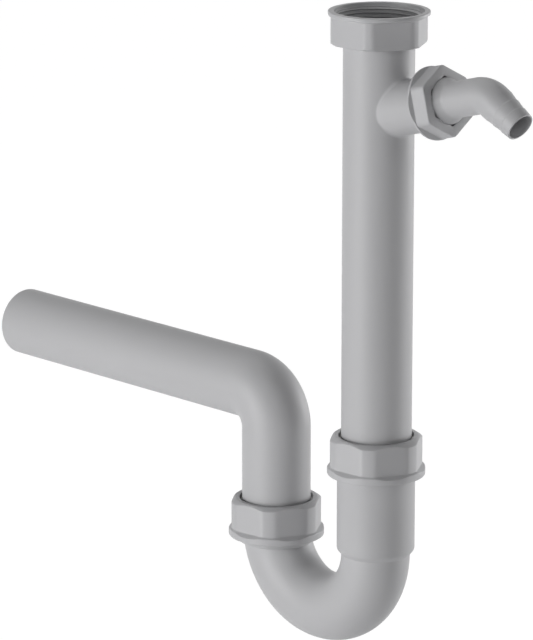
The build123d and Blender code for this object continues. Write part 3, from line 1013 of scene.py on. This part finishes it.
# Each lamp's turn from the camera's side and its rise in degrees, its distance and size in metres,
# and its watts
LAMPS = (
    ("Low Left Lamp", -45, -25, 1.0, 0.6, 2.0),
    ("Low Right Lamp", 90, -25, 1.0, 0.6, 2.4),
    ("Left Lamp", -60, 5, 2.2, 1.2, 30.0),
    ("Right Rim Lamp", 120, 5, 2.2, 1.2, 21.5),
    ("High Right Lamp", 30, 35, 2.2, 1.2, 6.3),
    ("High Back Lamp", 180, 65, 2.2, 1.2, 8.7),
)


class TRAP_OT_stage(Operator):
    """Set the floor, the lamps, the background and the camera"""
    bl_idname = "trap.stage"
    bl_label = "Stage"

    def execute(self, context):
        scene = context.scene
        self.floor(scene)
        self.background(scene)
        for lamp in LAMPS:
            self.lamp(scene, *lamp)
        self.camera(scene)
        scene.view_settings.view_transform = "Standard"
        return {"FINISHED"}

    def floor(self, scene):
        """Floor below the trap, which hangs from its sink."""
        bm = bmesh.new()
        bmesh.ops.create_grid(bm, x_segments=1, y_segments=1, size=FLOOR_HALF)
        shift(bm, 0, CAD_BOX[0].z - FLOOR_DROP)
        mesh = bpy.data.meshes.new("Floor")
        bm.to_mesh(mesh)
        bm.free()
        floor = bpy.data.objects.new("Floor", mesh)
        scene.collection.objects.link(floor)
        mesh.materials.append(self.studio_floor(scene))

    def studio_floor(self, scene):
        """White for what the camera sees, and its own colour for what lights the trap."""
        material = bpy.data.materials.new("Studio Floor")
        material.use_nodes = True
        nodes, links = material.node_tree.nodes, material.node_tree.links
        shader = nodes["Principled BSDF"]
        shader.inputs["Base Color"].default_value = (*scene.trap_finish.floor_colour, 1)
        shader.inputs["Roughness"].default_value = 0.9
        glow = nodes.new("ShaderNodeEmission")
        glow.inputs["Strength"].default_value = FLOOR_GLOW
        mix = nodes.new("ShaderNodeMixShader")
        part = nodes.new("ShaderNodeMath")
        part.operation = "MULTIPLY"
        part.inputs[1].default_value = FLOOR_GLOW_SHARE
        links.new(self.seen_rays(nodes, links), part.inputs[0])
        links.new(part.outputs[0], mix.inputs["Fac"])
        links.new(shader.outputs["BSDF"], mix.inputs[1])
        links.new(glow.outputs["Emission"], mix.inputs[2])
        links.new(mix.outputs["Shader"], nodes["Material Output"].inputs["Surface"])
        return material

    def seen_rays(self, nodes, links):
        """1 for what the camera, a mirror or glass sees, and 0 for what lights the object."""
        path = nodes.new("ShaderNodeLightPath")
        glossy = nodes.new("ShaderNodeMath")
        glossy.operation = "MAXIMUM"
        links.new(path.outputs["Is Camera Ray"], glossy.inputs[0])
        links.new(path.outputs["Is Glossy Ray"], glossy.inputs[1])
        clear = nodes.new("ShaderNodeMath")
        clear.operation = "MAXIMUM"
        links.new(glossy.outputs[0], clear.inputs[0])
        links.new(path.outputs["Is Transmission Ray"], clear.inputs[1])
        return clear.outputs[0]

    def background(self, scene):
        """World that is seen as white, and lights the trap weakly."""
        world = bpy.data.worlds.new("Studio")
        scene.world = world
        world.use_nodes = True
        nodes, links = world.node_tree.nodes, world.node_tree.links
        light = nodes["Background"]
        light.inputs["Color"].default_value = (1, 1, 1, 1)
        light.inputs["Strength"].default_value = WORLD_LIGHT
        white = nodes.new("ShaderNodeBackground")
        white.inputs["Color"].default_value = (1, 1, 1, 1)
        mix = nodes.new("ShaderNodeMixShader")
        links.new(self.seen_rays(nodes, links), mix.inputs["Fac"])
        links.new(light.outputs["Background"], mix.inputs[1])
        links.new(white.outputs["Background"], mix.inputs[2])
        links.new(mix.outputs["Shader"], nodes["World Output"].inputs["Surface"])

    def lamp(self, scene, name, turn, rise, distance, size, power):
        """Round lamp turned from the camera's side and raised, both in degrees."""
        camera = CAMERA_PLACE - LAMP_AIM
        turn = math.atan2(camera.y, camera.x) + math.radians(turn)
        level = math.cos(math.radians(rise))
        away = Vector((math.cos(turn) * level, math.sin(turn) * level,
                       math.sin(math.radians(rise))))
        lamp = bpy.data.lights.new(name, "AREA")
        lamp.shape = "DISK"
        lamp.size = size
        lamp.energy = power
        holder = bpy.data.objects.new(name, lamp)
        holder.location = LAMP_AIM + away * distance
        holder.rotation_euler = (-away).to_track_quat("-Z", "Y").to_euler()
        holder.visible_camera = False
        scene.collection.objects.link(holder)

    def camera(self, scene):
        """Camera at the photo's angle."""
        lens = bpy.data.cameras.new("Photo Camera")
        lens.lens = LENS
        lens.sensor_width = 36.0
        lens.clip_end = 50.0
        camera = bpy.data.objects.new("Photo Camera", lens)
        camera.location = CAMERA_PLACE
        aim = CAMERA_AIM - CAMERA_PLACE
        camera.rotation_euler = aim.to_track_quat("-Z", "Y").to_euler()
        scene.collection.objects.link(camera)
        scene.camera = camera


class TRAP_PT_pieces(Panel):
    """Lists the trap's pieces"""
    bl_idname = "TRAP_PT_pieces"
    bl_label = "Sink Trap"
    bl_space_type = "VIEW_3D"
    bl_region_type = "UI"
    bl_category = "Sink Trap"

    def draw(self, context):
        for piece in PIECES:
            self.layout.operator(piece.bl_idname)


GROUPS = {
    "trap_pipes": TrapPipeSizes,
    "trap_inlet": TrapInletSizes,
    "trap_bend": TrapBendSizes,
    "trap_threads": TrapThreadSizes,
    "trap_union_nut": TrapUnionNutSizes,
    "trap_slip_nut": TrapSlipNutSizes,
    "trap_branch_nut": TrapBranchNutSizes,
    "trap_nozzle": TrapNozzleSizes,
    "trap_finish": TrapFinish,
}
PIECES = (
    TRAP_OT_stage,
    TRAP_OT_union_nut,
    TRAP_OT_slip_nuts,
    TRAP_OT_branch_nut,
    TRAP_OT_hose_nozzle,
    TRAP_OT_inlet_tube,
    TRAP_OT_trap_bend,
    TRAP_OT_outlet_bend,
    TRAP_OT_rings,
)


def register():
    for name, group in GROUPS.items():
        bpy.utils.register_class(group)
        setattr(bpy.types.Scene, name, PointerProperty(type=group))
    for cls in (*PIECES, TRAP_PT_pieces):
        bpy.utils.register_class(cls)


def unregister():
    for cls in reversed((*PIECES, TRAP_PT_pieces)):
        bpy.utils.unregister_class(cls)
    for name, group in reversed(GROUPS.items()):
        delattr(bpy.types.Scene, name)
        bpy.utils.unregister_class(group)


def main():
    register()
    for piece in PIECES:
        family, action = piece.bl_idname.split(".")
        getattr(getattr(bpy.ops, family), action)()


if __name__ == "__main__":
    main()
